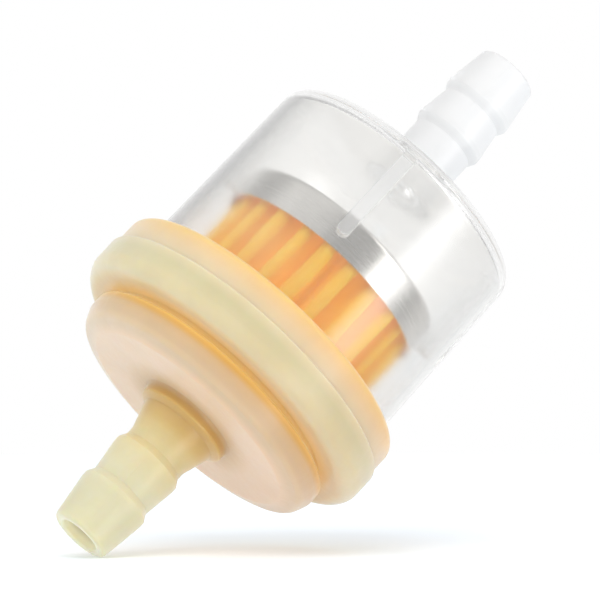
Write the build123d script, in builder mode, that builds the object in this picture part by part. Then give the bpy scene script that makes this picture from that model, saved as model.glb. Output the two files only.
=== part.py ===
"""In-line fuel filter: a clear bowl glued into a cream end cap, round a pleated paper element.

Everything stands on one flow axis, +Z. Dirty fuel enters by the inlet barb at the top, spreads round the
closed element cap, passes inwards through the paper, and leaves by the outlet barb at the bottom.
Z = 0 is the outer lip of the outlet barb, where the hose seals. All sizes are in millimetres.
"""

import os
from math import asin, atan2, degrees

from build123d import *

# Hose barbs, for hose of 6 to 7 mm bore. Both are alike, but for the places of their lips.
BORE_R, BORE_ROUND = 2.1, 0.3
NOSE_R, NOSE_ROUND = 3.12, 0.5
LIP_R, LIP_LAND, LIP_ROUND = 3.76, 0.5, 0.15
NECK_R, BACK_STEP = 3.32, 0.8
OUTLET_END, OUTLET_LIP_Z, OUTLET_LIP_PITCH = -5.0, 0.0, 4.7
INLET_END, INLET_LIP_Z, INLET_LIP_PITCH = 59.0, 54.35, 4.3

# End cap, outside: flared root, collar, disc, groove, and the flange's band and shoulder
FLARE_START_Z, FLARE_END_Z, FLARE_R = 6.6, 9.5, 4.2
COLLAR_Z, COLLAR_R = 9.95, 5.0
DISC_Z, DISC_FACE_R = 11.0, 11.7
DISC_BEVEL_Z, DISC_BEVEL_R = 11.55, 13.7
DISC_SIDE_Z, DISC_R = 12.9, 14.25
GROOVE_Z, GROOVE_WIDTH, GROOVE_R = 14.25, 0.85, 12.9
BAND_R, BAND_ROUND, BAND_TOP_Z = 17.0, 1.7, 18.95
SHOULDER_R, SHOULDER_ROUND, MOUTH_Z = 16.65, 0.8, 22.1

# End cap, inside: a well for the element and a channel for the bowl's foot
WELL_R, WELL_Z, WELL_ROUND = 11.7, 13.4, 0.4
CHANNEL_INNER_R, CHANNEL_OUTER_R, CHANNEL_Z = 13.25, 15.0, 18.6
SPIGOT_TOP_Z = 21.4

# Clear bowl, which tapers from its foot to its closed end, with centring ribs inside
BOWL_FOOT_R, BOWL_TOP_R, BOWL_CORNER = 14.55, 14.15, 1.7
BOWL_TAPER_Z, BOWL_TOP_Z = 22.1, 42.95
WALL = 1.1
RIB_COUNT, RIB_WIDTH = 4, 1.35
RIB_INNER_R, RIB_OUTER_R = 11.65, 13.5
RIB_TIP_Z, RIB_TOP_Z = 31.2, 42.1

# Pleated paper, and the sheet steel clip that joins its ends
PLEAT_COUNT = 22
PLEAT_OUTER_R, PLEAT_INNER_R = 11.05, 6.3
PAPER = 0.5
CREST_R, VALLEY_R = 0.72, 0.3
PAPER_BOTTOM_Z, PAPER_TOP_Z = 14.0, 32.9
CLIP_SHEET, CLIP_DEPTH = 0.14, 2.4

# Tinplate cap on the element, with a dished centre
TIN = 0.2
SKIRT_R, SKIRT_Z = 11.4, 30.05
TIN_TOP_Z, TIN_CORNER = 33.9, 0.7
DISH_FLOOR_R, DISH_RIM_R, DISH_DEPTH, DISH_ROUND = 4.6, 5.4, 0.6, 0.4

# Sealant round both ends of the paper, and in the channel round the bowl's foot
BASE_SEALANT_Z, BASE_SEALANT_HOLE_R = 15.4, 4.6
CAP_SEALANT_Z = 31.6
JOINT_OUTER_Z, JOINT_INNER_Z = 21.75, 22.2


def barb(end, outer_lip, inwards, lip_pitch):
    """Corners of a barb's outside from its end to its neck, where inwards is +1 or -1 along Z."""
    corners = [(NOSE_R, end, NOSE_ROUND)]
    for lip in (outer_lip, outer_lip + inwards * lip_pitch):
        corners += [
            (LIP_R, lip - inwards * LIP_LAND / 2, 0),
            (LIP_R, lip + inwards * LIP_LAND / 2, LIP_ROUND),
            (NECK_R, lip + inwards * (LIP_LAND / 2 + BACK_STEP), 0),
        ]
    return corners


def tin_face(depth):
    """Corners of the tinplate's crown, depth below its outside, from the axis to the skirt."""
    top = TIN_TOP_Z - depth
    return [
        (0, top - DISH_DEPTH, 0),
        (DISH_FLOOR_R, top - DISH_DEPTH, DISH_ROUND),
        (DISH_RIM_R, top, DISH_ROUND),
        (SKIRT_R - depth, top, TIN_CORNER - depth),
    ]


def turned(corners):
    """Draw one closed outline from its corners, each a radius, a height and a rounding."""
    points = [(radius, height) for radius, height, _ in corners]
    FilletPolyline(*points, radius=[rounding for *_, rounding in corners], close=True)


def polar(radius, angle):
    return Vector(radius, 0).rotate(Axis.Z, angle)


def pleats(grow):
    """Draw the outline of the folded paper's outer face, moved outwards by grow."""
    half_pitch = 180 / PLEAT_COUNT
    crest_r, valley_r = CREST_R + grow, VALLEY_R - grow
    crest = Vector(PLEAT_OUTER_R - CREST_R, 0)
    valley = polar(PLEAT_INNER_R + PAPER + VALLEY_R, half_pitch)
    # Each flank is the straight line that touches the crest's circle and the next valley's circle.
    across = valley - crest
    lean = degrees(asin((CREST_R + VALLEY_R) / across.length))
    normal = degrees(atan2(across.Y, across.X)) - 90 + lean
    crest_arc = [crest + polar(crest_r, angle) for angle in (-normal, 0, normal)]
    valley_arc = [valley - polar(valley_r, angle) for angle in (normal, half_pitch, 2 * half_pitch - normal)]
    for pleat in range(PLEAT_COUNT):
        turn = 2 * half_pitch * pleat
        start, crown, end = (point.rotate(Axis.Z, turn) for point in crest_arc)
        sink, floor, rise = (point.rotate(Axis.Z, turn) for point in valley_arc)
        ThreePointArc(start, crown, end)
        Line(end, sink)
        ThreePointArc(sink, floor, rise)
        Line(rise, crest_arc[0].rotate(Axis.Z, turn + 2 * half_pitch))


with BuildPart() as end_cap:
    with BuildSketch(Plane.XZ):
        with BuildLine():
            turned([
                (BORE_R, OUTLET_END, BORE_ROUND),
                *barb(OUTLET_END, OUTLET_LIP_Z, 1, OUTLET_LIP_PITCH),
                (NECK_R, FLARE_START_Z, 1.5),
                (FLARE_R, FLARE_END_Z, 0.2),
                (COLLAR_R, COLLAR_Z, 0.3),
                (COLLAR_R, DISC_Z, 0.4),
                (DISC_FACE_R, DISC_Z, 0.8),
                (DISC_BEVEL_R, DISC_BEVEL_Z, 0.9),
                (DISC_R, DISC_SIDE_Z, 0.8),
                (DISC_R, GROOVE_Z, 0.3),
                (GROOVE_R, GROOVE_Z, 0.2),
                (GROOVE_R, GROOVE_Z + GROOVE_WIDTH, 0.2),
                (BAND_R, GROOVE_Z + GROOVE_WIDTH, BAND_ROUND),
                (BAND_R, BAND_TOP_Z, 0.12),
                (SHOULDER_R, BAND_TOP_Z, 0),
                (SHOULDER_R, MOUTH_Z, SHOULDER_ROUND),
                (CHANNEL_OUTER_R, MOUTH_Z, 0.25),
                (CHANNEL_OUTER_R, CHANNEL_Z, 0),
                (CHANNEL_INNER_R, CHANNEL_Z, 0),
                (CHANNEL_INNER_R, SPIGOT_TOP_Z, 0.3),
                (WELL_R, SPIGOT_TOP_Z, 0.4),
                (WELL_R, WELL_Z, WELL_ROUND),
                (BORE_R, WELL_Z, 0.5),
            ])
        make_face()
    revolve(axis=Axis.Z)

with BuildPart() as clear_bowl:
    with BuildSketch(Plane.XZ):
        with BuildLine():
            turned([
                (BOWL_FOOT_R - WALL, CHANNEL_Z, 0.2),
                (BOWL_FOOT_R, CHANNEL_Z, 0.2),
                (BOWL_FOOT_R, BOWL_TAPER_Z, 0),
                (BOWL_TOP_R, BOWL_TOP_Z, BOWL_CORNER),
                (NECK_R, BOWL_TOP_Z, 0.6),
                *reversed(barb(INLET_END, INLET_LIP_Z, -1, INLET_LIP_PITCH)),
                (BORE_R, INLET_END, BORE_ROUND),
                (BORE_R, BOWL_TOP_Z - WALL, 0.4),
                (BOWL_TOP_R - WALL, BOWL_TOP_Z - WALL, 0.8),
                (BOWL_FOOT_R - WALL, BOWL_TAPER_Z, 0),
            ])
        make_face()
    revolve(axis=Axis.Z)
    # Each rib is a plate with a rounded tip, which stands inwards from the wall.
    tip_centre_z = RIB_TIP_Z + RIB_WIDTH / 2
    rib_height = RIB_TOP_Z - tip_centre_z
    rib_planes = [
        Plane(polar(RIB_INNER_R, angle), x_dir=(0, 0, 1), z_dir=polar(1, angle))
        for angle in range(0, 360, 360 // RIB_COUNT)
    ]
    with BuildSketch(*rib_planes):
        with Locations((tip_centre_z, 0)):
            Circle(RIB_WIDTH / 2)
            Rectangle(rib_height, RIB_WIDTH, align=(Align.MIN, Align.CENTER))
    extrude(amount=RIB_OUTER_R - RIB_INNER_R)

with BuildPart() as pleated_paper:
    with BuildSketch(Plane.XY.offset(PAPER_BOTTOM_Z)):
        with BuildLine():
            pleats(0)
        make_face()
        with BuildLine():
            pleats(-PAPER)
        make_face(mode=Mode.SUBTRACT)
    extrude(amount=PAPER_TOP_Z - PAPER_BOTTOM_Z)

with BuildPart() as seam_clip:
    # The clip is folded over the one crest, on the -X side, where the two ends of the paper meet.
    with BuildSketch(Plane.XY.offset(PAPER_BOTTOM_Z)):
        with BuildLine():
            pleats(CLIP_SHEET)
        make_face()
        with BuildLine():
            pleats(0)
        make_face(mode=Mode.SUBTRACT)
        with Locations((-PLEAT_OUTER_R, 0)):
            Rectangle(2 * CLIP_DEPTH, 3 * CREST_R, mode=Mode.INTERSECT)
    extrude(amount=PAPER_TOP_Z - PAPER_BOTTOM_Z)

with BuildPart() as element_cap:
    with BuildSketch(Plane.XZ):
        with BuildLine():
            turned([
                *tin_face(0),
                (SKIRT_R, SKIRT_Z, 0),
                (SKIRT_R - TIN, SKIRT_Z, 0),
                *reversed(tin_face(TIN)),
            ])
        make_face()
    revolve(axis=Axis.Z)

with BuildPart() as cap_sealant:
    with BuildSketch(Plane.XZ):
        with BuildLine():
            turned([(0, CAP_SEALANT_Z, 0), *tin_face(TIN), (SKIRT_R - TIN, CAP_SEALANT_Z, 0)])
        make_face()
    revolve(axis=Axis.Z)
    add([pleated_paper.part, seam_clip.part], mode=Mode.SUBTRACT)

with BuildPart() as base_sealant:
    with BuildSketch(Plane.XZ):
        with BuildLine():
            turned([
                (BASE_SEALANT_HOLE_R, WELL_Z, 0),
                (WELL_R, WELL_Z, WELL_ROUND),
                (WELL_R, BASE_SEALANT_Z, 0),
                (BASE_SEALANT_HOLE_R, BASE_SEALANT_Z, 0.5),
            ])
        make_face()
    revolve(axis=Axis.Z)
    add([pleated_paper.part, seam_clip.part], mode=Mode.SUBTRACT)

with BuildPart() as joint_sealant:
    with BuildSketch(Plane.XZ):
        with BuildLine():
            turned([
                (BOWL_FOOT_R, CHANNEL_Z, 0),
                (CHANNEL_OUTER_R, CHANNEL_Z, 0),
                (CHANNEL_OUTER_R, JOINT_OUTER_Z, 0),
                (BOWL_FOOT_R, JOINT_INNER_Z, 0),
            ])
        make_face()
    revolve(axis=Axis.Z)

pieces = {
    "end_cap": end_cap,
    "clear_bowl": clear_bowl,
    "pleated_paper": pleated_paper,
    "seam_clip": seam_clip,
    "element_cap": element_cap,
    "cap_sealant": cap_sealant,
    "base_sealant": base_sealant,
    "joint_sealant": joint_sealant,
}
os.makedirs("parts", exist_ok=True)
for name, piece in pieces.items():
    piece.part.label = name
    export_step(piece.part, f"parts/{name}.step")
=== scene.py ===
import math

import bmesh
import bpy
from mathutils import Matrix, Vector, noise


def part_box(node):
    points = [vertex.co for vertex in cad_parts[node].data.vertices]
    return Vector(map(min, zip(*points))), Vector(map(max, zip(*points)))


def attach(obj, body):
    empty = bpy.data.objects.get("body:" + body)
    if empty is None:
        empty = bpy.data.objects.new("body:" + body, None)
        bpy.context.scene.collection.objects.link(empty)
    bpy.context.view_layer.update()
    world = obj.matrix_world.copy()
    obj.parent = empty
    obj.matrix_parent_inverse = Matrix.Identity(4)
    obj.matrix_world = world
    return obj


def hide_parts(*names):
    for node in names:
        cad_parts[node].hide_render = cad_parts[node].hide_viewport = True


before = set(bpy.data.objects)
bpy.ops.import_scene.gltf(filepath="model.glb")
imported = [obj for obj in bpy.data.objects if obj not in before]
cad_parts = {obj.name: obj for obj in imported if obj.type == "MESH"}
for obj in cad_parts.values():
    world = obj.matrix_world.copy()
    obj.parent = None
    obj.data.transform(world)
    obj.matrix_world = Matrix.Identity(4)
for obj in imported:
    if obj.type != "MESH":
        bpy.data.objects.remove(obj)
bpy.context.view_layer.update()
MM = 0.001

# Camera: the filter's axis leans to the upper right, with the outlet end nearest. CAMERA_AZIMUTH is the side
# that it sees, from +X. AXIS_FROM_VIEW is the axis's angle from the line of sight, AXIS_RISE is its slope in
# the picture, and FIELD is the width of the view at the filter. The lens and sensor are in millimetres, and
# CLIP_END is in metres. The camera looks at AIM, moved a little to the left and down.
CAMERA_AZIMUTH = math.radians(6.0)
AXIS_FROM_VIEW = math.radians(73.4)
AXIS_RISE = math.radians(47.2)
FIELD = 58.25 * MM
LENS, SENSOR, CLIP_END = 600, 36, 10
AXIS = Vector((0, 0, 1))
AIM = 29.09 * MM * AXIS
AIM_SIDE, AIM_UP = -0.932 * MM, -1.291 * MM

# Studio: how bright the white surroundings are to each kind of ray. Gloss mirrors upright bands in them, each
# with its azimuth from the camera, its half width and how much brighter it is. A band is even in its core,
# the middle part of its width, and fades out beyond it.
BACKDROP, THROUGH_GLASS, SOFT_LIGHT, MIRRORED = 1.0, 0.97, 0.78, 0.5
BRIGHT_BANDS = [
    (math.radians(-60), math.radians(45), 0.4),
    (math.radians(46), math.radians(14), 3.2),
    (math.radians(56), math.radians(24), 0.5),
    (math.radians(165), math.radians(80), 0.5),
]
BAND_CORE = 1 / 3
LIGHT_BOUNCES = 32

# Floor: just under the filter, seen almost edge-on. It is slightly blue, against the warm light off the nylon.
FLOOR_TILT = math.radians(2.5)
FLOOR_RADIUS = 160 * MM
FLOOR_SIDES = 96
FLOOR_COLOUR = (0.88, 0.94, 1.0, 1)
FLOOR_GLOW = 0.2

# Paper: how far its folds sway and dent between the sealed ends, how many sways or dents a radian holds, and
# how long each is. The dents' noise lies DENT_OFFSET away from the sways' and grows towards the crests.
PAPER_RINGS = 14
FOLD_SWAY, SWAYS_IN_RADIAN, SWAY_LENGTH = math.radians(2.6), 4, 9 * MM
FOLD_DENT, DENTS_IN_RADIAN, DENT_LENGTH = 0.45 * MM, 5, 12 * MM
DENT_OFFSET, CREST_POWER, MEAN_DENT = 7, 3, 0.5
SEALED_LENGTH = 3 * MM
CLIP_HALF_ANGLE = math.radians(22)
SHARP_FOLD = math.radians(45)

# Paper's colours, from the radius of its valleys to that of its crests, the painted glow at each for the light
# that comes through, and the painted shade that deepens the crests' orange
PAPER_VALLEY, PAPER_CREST = 8.5 * MM, 10.6 * MM
VALLEY_PAINTED_GLOW, CREST_PAINTED_GLOW = (0.155, 0.09, 0.012, 1), (0.08, 0.035, 0.003, 1)
CREST_SHADE = (1, 0.82, 0.75, 1)
PAPER_COLOURS, FIBRE_COLOUR = ((234, 206, 62), (240, 216, 84)), (226, 188, 56)

# Cream nylon: its colour at heights in millimetres. The darker stops at the barb's root, on the disc's bevel
# and in the groove are painted shade; the warmer stops at the top are painted light from the orange paper and
# amber glue behind the thin wall
NYLON_COLOURS_AND_SHADE = [
    (-5.0, (218, 219, 190)),
    (2.0, (222, 221, 190)),
    (6.5, (227, 216, 168)),
    (8.5, (222, 198, 136)),
    (10.4, (226, 196, 136)),
    (10.95, (241, 213, 183)),
    (11.3, (222, 200, 168)),
    (12.2, (214, 190, 156)),
    (13.2, (214, 184, 140)),
    (13.7, (214, 170, 88)),
    (14.3, (226, 188, 112)),
    (15.0, (228, 204, 152)),
    (15.3, (223, 212, 176)),
    (17.8, (214, 207, 168)),
    (19.0, (226, 213, 182)),
    (20.2, (234, 210, 170)),
    (21.2, (238, 206, 152)),
    (22.1, (241, 199, 116)),
]

# Rings on the nylon, each a radius and a height, how far from it its painted shade or painted glow fades, and
# that colour: painted shade round the barb's collar, and painted glow in the groove and in the outlet bore's
# mouth
COLLAR, COLLAR_REACH, COLLAR_SHADE = (4.9 * MM, 10.4 * MM), 3.0 * MM, (204, 166, 92)
COLLAR_SHADE_STRENGTH = 0.8
GROOVE, GROOVE_REACH, GROOVE_PAINTED_GLOW = (13.2 * MM, 14.6 * MM), 1.7 * MM, (0.24, 0.17, 0.05, 1)
BORE_MOUTH, BORE_REACH, BORE_PAINTED_GLOW = (2.0 * MM, -4.4 * MM), 1.1 * MM, (0.26, 0.27, 0.22, 1)

# Warmer, darker tints on the nylon: in its clouds, and towards its +Y side, between -SIDE and SIDE
CLOUD_TINT, CLOUD_STRENGTH = (0.9, 0.88, 0.82, 1), 0.5
SIDE_TINT, SIDE = (0.94, 0.87, 0.84, 1), 14 * MM

# Clear plastic: how far the milky barb stands out of the bowl's end, and where the milk of the barb and that
# of the ribs fade: over a range of height above that end, and over a range of radius
INLET_LENGTH = 16.05 * MM
BARB_HEIGHTS, BARB_RADII = (-0.6 * MM, 0.8 * MM), (3.5 * MM, 4.5 * MM)
RIB_HEIGHTS, RIB_RADII = (-1.6 * MM, -1.2 * MM), (12.7 * MM, 13.1 * MM)
RIB_MILK = 0.5

# The plastic's colour, clearness and roughness, each with no milk and with all of it, how hazy it gets, and
# how much light goes straight through each of its faces
CLEAR_COLOUR, MILK_COLOUR = (0.99, 0.985, 0.97, 1), (0.85, 0.85, 0.85, 1)
CLEARNESS, CLEAR_ROUGHNESS = (0.98, 0.3), (0.14, 0.4)
HAZE = 0.03
LET_THROUGH = 0.93

# Noise: a range that holds most of its values, and a narrower one for a sharper change
MOST, MIDDLE = (0.3, 0.7), (0.35, 0.65)

# Surface detail: the size of each material's clouds, grain or fibres, and how deep they stand
NYLON_CLOUD, NYLON_CLOUD_DEPTH = 4 * MM, 0.12 * MM
NYLON_GRAIN, NYLON_GRAIN_DEPTH = 0.35 * MM, 0.0015 * MM
CLEAR_CLOUD, CLEAR_CLOUD_DEPTH = 6 * MM, 0.03 * MM
PAPER_CLOUD, PAPER_CLOUD_DEPTH = 2.5 * MM, 0.08 * MM
FIBRE_WIDTH, FIBRE_DEPTH = 0.12 * MM, 0.03 * MM
METAL_PATCH, METAL_PATCH_DEPTH = 5 * MM, 0.05 * MM
METAL_GRAIN, METAL_GRAIN_DEPTH = 0.15 * MM, 0.0015 * MM
RIPPLE, RIPPLE_DEPTH = 1.6 * MM, 0.1 * MM

# A fibre's width over its length, how strongly fibres colour the paper, and how bright the metal's duller
# patches are beside the rest
FIBRE_SHAPE, FIBRE_STRENGTH, DULL = 0.35, 0.35, 0.86

# Roughness of each material's smoothest and roughest places, and what a sealant's ripples add to its own
NYLON_ROUGHNESS, PAPER_ROUGHNESS, METAL_ROUGHNESS = (0.32, 0.42), (0.6, 0.85), (0.2, 0.3)
RIPPLE_ROUGHNESS = 0.15


def node(tree, kind, inputs=(), **settings):
    """Add a shader node. A socket given as an input is linked, and a plain value is set."""
    made = tree.nodes.new(kind)
    for name, value in settings.items():
        setattr(made, name, value)
    for name, value in dict(inputs).items():
        if isinstance(value, bpy.types.NodeSocket):
            tree.links.new(value, made.inputs[name])
        else:
            made.inputs[name].default_value = value
    return made


def material(name, **sockets):
    """A new material with one Principled shader, and its node tree."""
    made = bpy.data.materials.new(name)
    made.use_nodes = True
    shader = made.node_tree.nodes["Principled BSDF"]
    for socket, value in sockets.items():
        shader.inputs[socket.replace("_", " ")].default_value = value
    return made, made.node_tree, shader


def linear(red, green, blue):
    """A shader colour from an sRGB colour with channels of 0 to 255."""
    return (*(((c / 255 + 0.055) / 1.055) ** 2.4 for c in (red, green, blue)), 1)


def place(tree):
    """A point's place in the filter's frame: the point, its radius about the axis, and its height."""
    point = node(tree, "ShaderNodeTexCoord").outputs["Object"]
    parts = node(tree, "ShaderNodeSeparateXYZ", {0: point}).outputs
    flat = node(tree, "ShaderNodeCombineXYZ", {"X": parts["X"], "Y": parts["Y"]}).outputs[0]
    radius = node(tree, "ShaderNodeVectorMath", {0: flat}, operation="LENGTH").outputs["Value"]
    return point, radius, parts["Z"]


def mottled(tree, point, size, detail=3.0):
    """Noise of 0 to 1 with features of about a size."""
    inputs = {"Vector": point, "Scale": 1 / size, "Detail": detail}
    return node(tree, "ShaderNodeTexNoise", inputs).outputs["Fac"]


def spread(tree, value, low, high, first=0.0, last=1.0):
    """Map low..high to first..last, held at both ends."""
    return node(tree, "ShaderNodeMapRange", {"Value": value, "From Min": low, "From Max": high,
                                             "To Min": first, "To Max": last}).outputs[0]


def times(tree, first, second):
    """Multiply two values."""
    return node(tree, "ShaderNodeMath", {0: first, 1: second}, operation="MULTIPLY").outputs[0]


def mixed(tree, factor, first, second, blend="MIX"):
    """Mix two colours."""
    return node(tree, "ShaderNodeMix", {0: factor, 6: first, 7: second},
                data_type="RGBA", blend_type=blend).outputs[2]


def ramp(tree, factor, stops):
    """A colour ramp from a list of positions and colours."""
    made = node(tree, "ShaderNodeValToRGB", {"Fac": factor})
    elements = made.color_ramp.elements
    while len(elements) < len(stops):
        elements.new(0.5)
    for element, (position, colour) in zip(elements, stops):
        element.position, element.color = position, colour
    return made.outputs["Color"]


def near(tree, radius, height, ring, reach):
    """1 on a ring about the axis, fading to 0 at a distance of reach."""
    here = node(tree, "ShaderNodeCombineXYZ", {"X": radius, "Z": height}).outputs[0]
    away = node(tree, "ShaderNodeVectorMath", {0: here, 1: (ring[0], 0, ring[1])}, operation="DISTANCE")
    return spread(tree, away.outputs["Value"], 0, reach, 1, 0)


def grey(level):
    """A shader colour with equal channels."""
    return (level, level, level, 1)


def bumps(tree, shader, *layers):
    """Give a shader layers of bump, each a height socket and its depth."""
    normal = None
    for height, depth in layers:
        inputs = {"Height": height, "Distance": depth}
        if normal is not None:
            inputs["Normal"] = normal
        normal = node(tree, "ShaderNodeBump", inputs).outputs[0]
    tree.links.new(normal, shader.inputs["Normal"])


def view_axes():
    """The camera's right, up and backward directions in the filter's frame."""
    away = Vector((-math.cos(CAMERA_AZIMUTH), -math.sin(CAMERA_AZIMUTH), 0))
    forward = math.sin(AXIS_FROM_VIEW) * away + math.cos(AXIS_FROM_VIEW) * AXIS
    side = away.cross(AXIS)
    along = side.cross(forward)
    right = math.cos(AXIS_RISE) * along + math.sin(AXIS_RISE) * side
    up = math.sin(AXIS_RISE) * along - math.cos(AXIS_RISE) * side
    return right, up, -forward


RIGHT, UP, BACK = view_axes()


def placed(obj, location, backward, upward=UP):
    """Put an object at a place with its local Z along backward and its Y near upward."""
    z = backward.normalized()
    x = upward.cross(z).normalized()
    turn = Matrix((x, z.cross(x), z)).transposed().to_4x4()
    obj.matrix_world = Matrix.Translation(location) @ turn
    bpy.context.scene.collection.objects.link(obj)
    return obj


def make_camera():
    """A long lens far away, so that round edges show as true ellipses."""
    lens = bpy.data.cameras.new("camera")
    lens.lens, lens.sensor_width = LENS, SENSOR
    lens.clip_end = CLIP_END
    target = AIM + AIM_SIDE * RIGHT + AIM_UP * UP
    camera = placed(bpy.data.objects.new("camera", lens), target + FIELD * LENS / SENSOR * BACK, BACK)
    bpy.context.scene.camera = camera


def make_light(name, direction, distance, width, height, power, colour=(1, 1, 1)):
    """A soft rectangular lamp that faces the filter from a direction given as right, up, back."""
    right, up, back = direction
    towards = (right * RIGHT + up * UP + back * BACK).normalized()
    lamp = bpy.data.lights.new(name, "AREA")
    lamp.shape, lamp.size, lamp.size_y = "RECTANGLE", width, height
    lamp.energy, lamp.color = power, colour
    light = placed(bpy.data.objects.new(name, lamp), AIM + distance * towards, towards, AXIS)
    light.visible_camera = light.visible_transmission = light.visible_glossy = False


def make_world():
    """White surroundings, whose brightness depends on what kind of ray reaches them."""
    world = bpy.data.worlds.new("studio")
    bpy.context.scene.world = world
    world.use_nodes = True
    tree = world.node_tree
    ray = node(tree, "ShaderNodeTexCoord").outputs["Generated"]
    level_ray = node(tree, "ShaderNodeVectorMath", {0: ray, 1: (1, 1, 0)}, operation="MULTIPLY").outputs[0]
    compass = node(tree, "ShaderNodeVectorMath", {0: level_ray}, operation="NORMALIZE").outputs[0]
    mirrored = MIRRORED
    for azimuth, half_width, brighter in BRIGHT_BANDS:
        towards = (math.cos(CAMERA_AZIMUTH + azimuth), math.sin(CAMERA_AZIMUTH + azimuth), 0)
        facing = node(tree, "ShaderNodeVectorMath", {0: compass, 1: towards}, operation="DOT_PRODUCT")
        band = node(tree, "ShaderNodeMapRange", {
            "Value": facing.outputs["Value"], "From Min": math.cos(half_width),
            "From Max": math.cos(half_width * BAND_CORE), "To Max": brighter},
            interpolation_type="SMOOTHSTEP").outputs[0]
        mirrored = node(tree, "ShaderNodeMath", {0: mirrored, 1: band}).outputs[0]
    rays = node(tree, "ShaderNodeLightPath").outputs
    level = grey(SOFT_LIGHT)
    for kind, brightness in (("Is Glossy Ray", mirrored), ("Is Transmission Ray", grey(THROUGH_GLASS)),
                             ("Is Camera Ray", grey(BACKDROP))):
        level = mixed(tree, rays[kind], level, brightness)
    tree.links.new(level, tree.nodes["Background"].inputs["Color"])


def make_floor():
    """A pale disc that touches the filter from below. It can't be seen from behind."""
    normal = (math.cos(FLOOR_TILT) * UP + math.sin(FLOOR_TILT) * BACK).normalized()
    lowest = min(vertex.co.dot(normal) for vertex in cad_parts["end_cap"].data.vertices)
    mesh = bpy.data.meshes.new("floor")
    turns = [math.tau * k / FLOOR_SIDES for k in range(FLOOR_SIDES)]
    ring = [(FLOOR_RADIUS * math.cos(turn), FLOOR_RADIUS * math.sin(turn), 0) for turn in turns]
    mesh.from_pydata(ring, [], [range(FLOOR_SIDES)])
    middle = AIM + (lowest - AIM.dot(normal)) * normal
    floor = placed(bpy.data.objects.new("floor", mesh), middle, normal, BACK)
    made, tree, shader = material("floor", Base_Color=FLOOR_COLOUR, Roughness=1.0, Specular_IOR_Level=0)
    shader.inputs["Emission Color"].default_value = (1, 1, 1, 1)
    shader.inputs["Emission Strength"].default_value = FLOOR_GLOW
    behind = node(tree, "ShaderNodeNewGeometry").outputs["Backfacing"]
    clear = node(tree, "ShaderNodeBsdfTransparent").outputs[0]
    surface = node(tree, "ShaderNodeMixShader", {0: behind, 1: shader.outputs[0], 2: clear}).outputs[0]
    tree.links.new(surface, tree.nodes["Material Output"].inputs["Surface"])
    mesh.materials.append(made)
    floor.visible_glossy = False


def cream_nylon():
    """Moulded nylon, which light shines through a little where its wall is thin, with painted shade and
    painted glow.
    """
    made, tree, shader = material("cream_nylon", Subsurface_Weight=0.85, Subsurface_Radius=(1.0, 0.7, 0.35),
                                  Subsurface_Scale=2.2 * MM, IOR=1.5, Emission_Strength=1.0,
                                  Sheen_Weight=0.6, Sheen_Roughness=0.4)
    point, radius, height = place(tree)
    lowest, highest = NYLON_COLOURS_AND_SHADE[0][0], NYLON_COLOURS_AND_SHADE[-1][0]
    along = spread(tree, height, lowest * MM, highest * MM)
    stops = [((z - lowest) / (highest - lowest), linear(*rgb)) for z, rgb in NYLON_COLOURS_AND_SHADE]
    # The ramp paints shade at the root, bevel and groove, and light shining through at the top
    colour = ramp(tree, along, stops)
    # Painted shade round the barb's root, at the collar
    collar_shade = near(tree, radius, height, COLLAR, COLLAR_REACH)
    colour = mixed(tree, spread(tree, collar_shade, 0, 1, 0, COLLAR_SHADE_STRENGTH), colour, linear(*COLLAR_SHADE))
    cloud = mottled(tree, point, NYLON_CLOUD)
    clouds = ramp(tree, cloud, [(MOST[0], CLOUD_TINT), (MOST[1], grey(1))])
    colour = mixed(tree, CLOUD_STRENGTH, colour, clouds, "MULTIPLY")
    across = spread(tree, node(tree, "ShaderNodeSeparateXYZ", {0: point}).outputs["Y"], -SIDE, SIDE)
    colour = mixed(tree, across, colour, mixed(tree, 1, colour, SIDE_TINT, "MULTIPLY"))
    tree.links.new(colour, shader.inputs["Base Color"])
    # Painted glow in the groove and in the outlet bore's mouth, for light coming through the nylon
    painted_glow = mixed(tree, near(tree, radius, height, GROOVE, GROOVE_REACH), grey(0), GROOVE_PAINTED_GLOW)
    painted_glow = mixed(tree, near(tree, radius, height, BORE_MOUTH, BORE_REACH), painted_glow, BORE_PAINTED_GLOW)
    tree.links.new(painted_glow, shader.inputs["Emission Color"])
    grain = mottled(tree, point, NYLON_GRAIN, detail=2)
    tree.links.new(spread(tree, grain, *MOST, *NYLON_ROUGHNESS), shader.inputs["Roughness"])
    bumps(tree, shader, (cloud, NYLON_CLOUD_DEPTH), (grain, NYLON_GRAIN_DEPTH))
    return made


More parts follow.
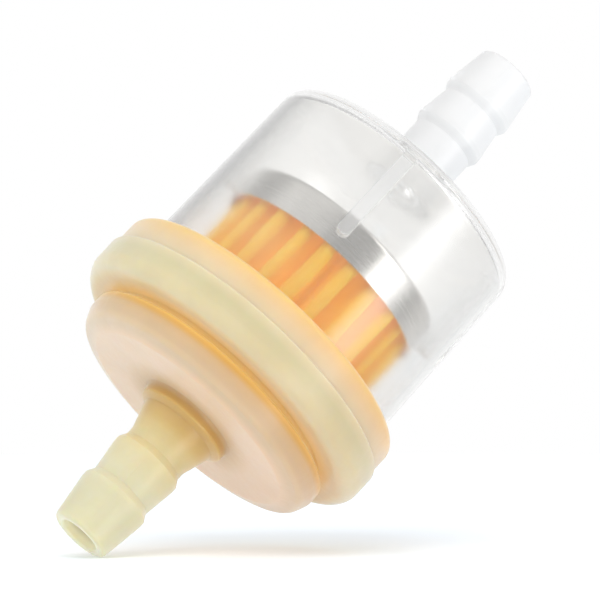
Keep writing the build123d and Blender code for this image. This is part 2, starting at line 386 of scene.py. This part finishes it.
def clear_plastic():
    """Clear plastic, faintly hazy, and milky in the barb and, less so, in the ribs."""
    made, tree, shader = material("clear_plastic", IOR=1.5)
    point, radius, height = place(tree)
    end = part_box("clear_bowl")[1][2] - INLET_LENGTH
    barb_from, barb_to, rib_from, rib_to = (end + offset for offset in (*BARB_HEIGHTS, *RIB_HEIGHTS))
    barb = times(tree, spread(tree, height, barb_from, barb_to),
                 spread(tree, radius, *BARB_RADII, 1, 0))
    ribs = times(tree, spread(tree, height, rib_from, rib_to, RIB_MILK, 0),
                 spread(tree, radius, *RIB_RADII, 1, 0))
    milk = node(tree, "ShaderNodeMath", {0: barb, 1: ribs}, operation="MAXIMUM").outputs[0]
    tree.links.new(mixed(tree, milk, CLEAR_COLOUR, MILK_COLOUR), shader.inputs["Base Color"])
    cloud = mottled(tree, point, CLEAR_CLOUD)
    haze = spread(tree, cloud, *MOST, 0, HAZE)
    clear = spread(tree, milk, 0, 1, *CLEARNESS)
    clear = node(tree, "ShaderNodeMath", {0: clear, 1: haze}, operation="SUBTRACT").outputs[0]
    tree.links.new(clear, shader.inputs["Transmission Weight"])
    rough = spread(tree, milk, 0, 1, *CLEAR_ROUGHNESS)
    rough = node(tree, "ShaderNodeMath", {0: rough, 1: haze}).outputs[0]
    tree.links.new(rough, shader.inputs["Roughness"])
    bumps(tree, shader, (cloud, CLEAR_CLOUD_DEPTH))
    let_light_through(tree, shader)
    return made


def let_light_through(tree, shader):
    """Let lamp light, soft light and mirrored light pass straight through glass."""
    rays = node(tree, "ShaderNodeLightPath").outputs
    clear = node(tree, "ShaderNodeBsdfTransparent", {"Color": grey(LET_THROUGH)}).outputs[0]
    surface = shader.outputs[0]
    for ray in ("Is Shadow Ray", "Is Diffuse Ray", "Is Reflection Ray"):
        surface = node(tree, "ShaderNodeMixShader", {0: rays[ray], 1: surface, 2: clear}).outputs[0]
    tree.links.new(surface, tree.nodes["Material Output"].inputs["Surface"])


def filter_paper():
    """Resin-treated paper: orange and fibrous, with a painted glow for light through it, most of all in its
    valleys, and painted shade on its crests.
    """
    made, tree, shader = material("filter_paper", Subsurface_Weight=1.0, Subsurface_Radius=(1.0, 0.75, 0.35),
                                  Subsurface_Scale=1.6 * MM, Emission_Strength=1.0)
    point, radius, _ = place(tree)
    crest = spread(tree, radius, PAPER_VALLEY, PAPER_CREST)
    # Painted glow for light through the paper, strongest in the valleys
    painted_glow = mixed(tree, crest, VALLEY_PAINTED_GLOW, CREST_PAINTED_GLOW)
    tree.links.new(painted_glow, shader.inputs["Emission Color"])
    cloud = mottled(tree, point, PAPER_CLOUD)
    stretched = node(tree, "ShaderNodeVectorMath", {0: point, 1: (1, 1, FIBRE_SHAPE)}, operation="MULTIPLY")
    fibre = mottled(tree, stretched.outputs[0], FIBRE_WIDTH, detail=4)
    colour = ramp(tree, cloud, [(at, linear(*rgb)) for at, rgb in zip(MOST, PAPER_COLOURS)])
    colour = mixed(tree, spread(tree, fibre, *MIDDLE, 0, FIBRE_STRENGTH), colour, linear(*FIBRE_COLOUR))
    # Painted shade on the crests
    colour = mixed(tree, crest, colour, mixed(tree, 1, colour, CREST_SHADE, "MULTIPLY"))
    tree.links.new(colour, shader.inputs["Base Color"])
    tree.links.new(spread(tree, fibre, *MOST, *PAPER_ROUGHNESS), shader.inputs["Roughness"])
    bumps(tree, shader, (cloud, PAPER_CLOUD_DEPTH), (fibre, FIBRE_DEPTH))
    return made


def sheet_metal(name, colour):
    """Tinned sheet with a fine grain round the axis and a few duller patches."""
    made, tree, shader = material(name, Metallic=1.0)
    point, radius, height = place(tree)
    rolled = node(tree, "ShaderNodeCombineXYZ", {"X": radius, "Z": height}).outputs[0]
    grain = mottled(tree, rolled, METAL_GRAIN, detail=4)
    patch = mottled(tree, point, METAL_PATCH)
    dull = (*(DULL * channel for channel in colour[:3]), 1)
    tree.links.new(mixed(tree, spread(tree, patch, *MIDDLE), dull, colour), shader.inputs["Base Color"])
    tree.links.new(spread(tree, grain, *MOST, *METAL_ROUGHNESS), shader.inputs["Roughness"])
    bumps(tree, shader, (patch, METAL_PATCH_DEPTH), (grain, METAL_GRAIN_DEPTH))
    return made


def sealant(name, thin, thick, roughness):
    """Amber cured compound, with a slightly rippled face."""
    made, tree, shader = material(name, Subsurface_Weight=0.6, Subsurface_Radius=(1.0, 0.5, 0.2),
                                  Subsurface_Scale=1.0 * MM)
    point, _, _ = place(tree)
    ripple = mottled(tree, point, RIPPLE)
    tree.links.new(ramp(tree, ripple, [(MOST[0], thick), (MOST[1], thin)]), shader.inputs["Base Color"])
    rough = spread(tree, ripple, *MOST, roughness, roughness + RIPPLE_ROUGHNESS)
    tree.links.new(rough, shader.inputs["Roughness"])
    bumps(tree, shader, (ripple, RIPPLE_DEPTH))
    return made


def dress(name, made):
    """Give a CAD node a finished material."""
    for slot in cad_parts[name].material_slots:
        slot.material = made


def make_paper():
    """The folded paper, held true by the sealant at both ends and a little uneven between them."""
    low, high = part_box("pleated_paper")
    folds = bmesh.new()
    folds.from_mesh(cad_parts["pleated_paper"].data)
    for ring in range(1, PAPER_RINGS):
        height = low[2] + (high[2] - low[2]) * ring / PAPER_RINGS
        bmesh.ops.bisect_plane(folds, geom=[*folds.verts, *folds.edges, *folds.faces],
                               plane_co=(0, 0, height), plane_no=(0, 0, 1))
    for vertex in folds.verts:
        x, y, z = vertex.co
        radius, angle = math.hypot(x, y), math.atan2(y, x)
        free = min(1, (z - low[2]) / SEALED_LENGTH, (high[2] - z) / SEALED_LENGTH)
        free *= min(1, (math.pi - abs(angle)) / CLIP_HALF_ANGLE)
        around = Vector((math.cos(angle), math.sin(angle), 0))
        sway = noise.noise(SWAYS_IN_RADIAN * around + Vector((0, 0, z / SWAY_LENGTH)))
        dent = noise.noise(DENTS_IN_RADIAN * around + Vector((DENT_OFFSET, 0, z / DENT_LENGTH)))
        angle += FOLD_SWAY * free * sway
        crest = (radius / high[0]) ** CREST_POWER
        radius -= FOLD_DENT * free * crest * (MEAN_DENT + dent)
        vertex.co = radius * math.cos(angle), radius * math.sin(angle), z
    mesh = bpy.data.meshes.new("paper_folds")
    folds.to_mesh(mesh)
    folds.free()
    mesh.shade_smooth()
    mesh.set_sharp_from_angle(angle=SHARP_FOLD)
    mesh.materials.clear()
    mesh.materials.append(filter_paper())
    paper = bpy.data.objects.new("paper_folds", mesh)
    bpy.context.scene.collection.objects.link(paper)
    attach(paper, "root")
    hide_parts("pleated_paper")


bpy.context.scene.view_settings.view_transform = "Standard"
for kind in ("max", "transmission", "glossy", "diffuse", "transparent_max"):
    setattr(bpy.context.scene.cycles, f"{kind}_bounces", LIGHT_BOUNCES)
make_camera()
make_world()
make_light("key", direction=(-0.2, 1.0, 0.9), distance=0.5, width=0.3, height=0.3, power=0.88)
make_light("strip", direction=(0.83, -0.14, 0.54), distance=0.4, width=0.18, height=0.4, power=0.5,
           colour=(1, 0.97, 0.95))
make_floor()

dress("end_cap", cream_nylon())
dress("clear_bowl", clear_plastic())
dress("element_cap", sheet_metal("tinplate", (0.82, 0.80, 0.77, 1)))
dress("seam_clip", sheet_metal("clip_steel", (0.66, 0.66, 0.65, 1)))
element_sealant = sealant("element_sealant", thin=linear(226, 170, 96), thick=linear(196, 132, 62),
                          roughness=0.45)
dress("cap_sealant", element_sealant)
dress("base_sealant", element_sealant)
joint_sealant = sealant("joint_sealant", thin=linear(244, 206, 140), thick=linear(232, 178, 98),
                        roughness=0.2)
dress("joint_sealant", joint_sealant)
make_paper()
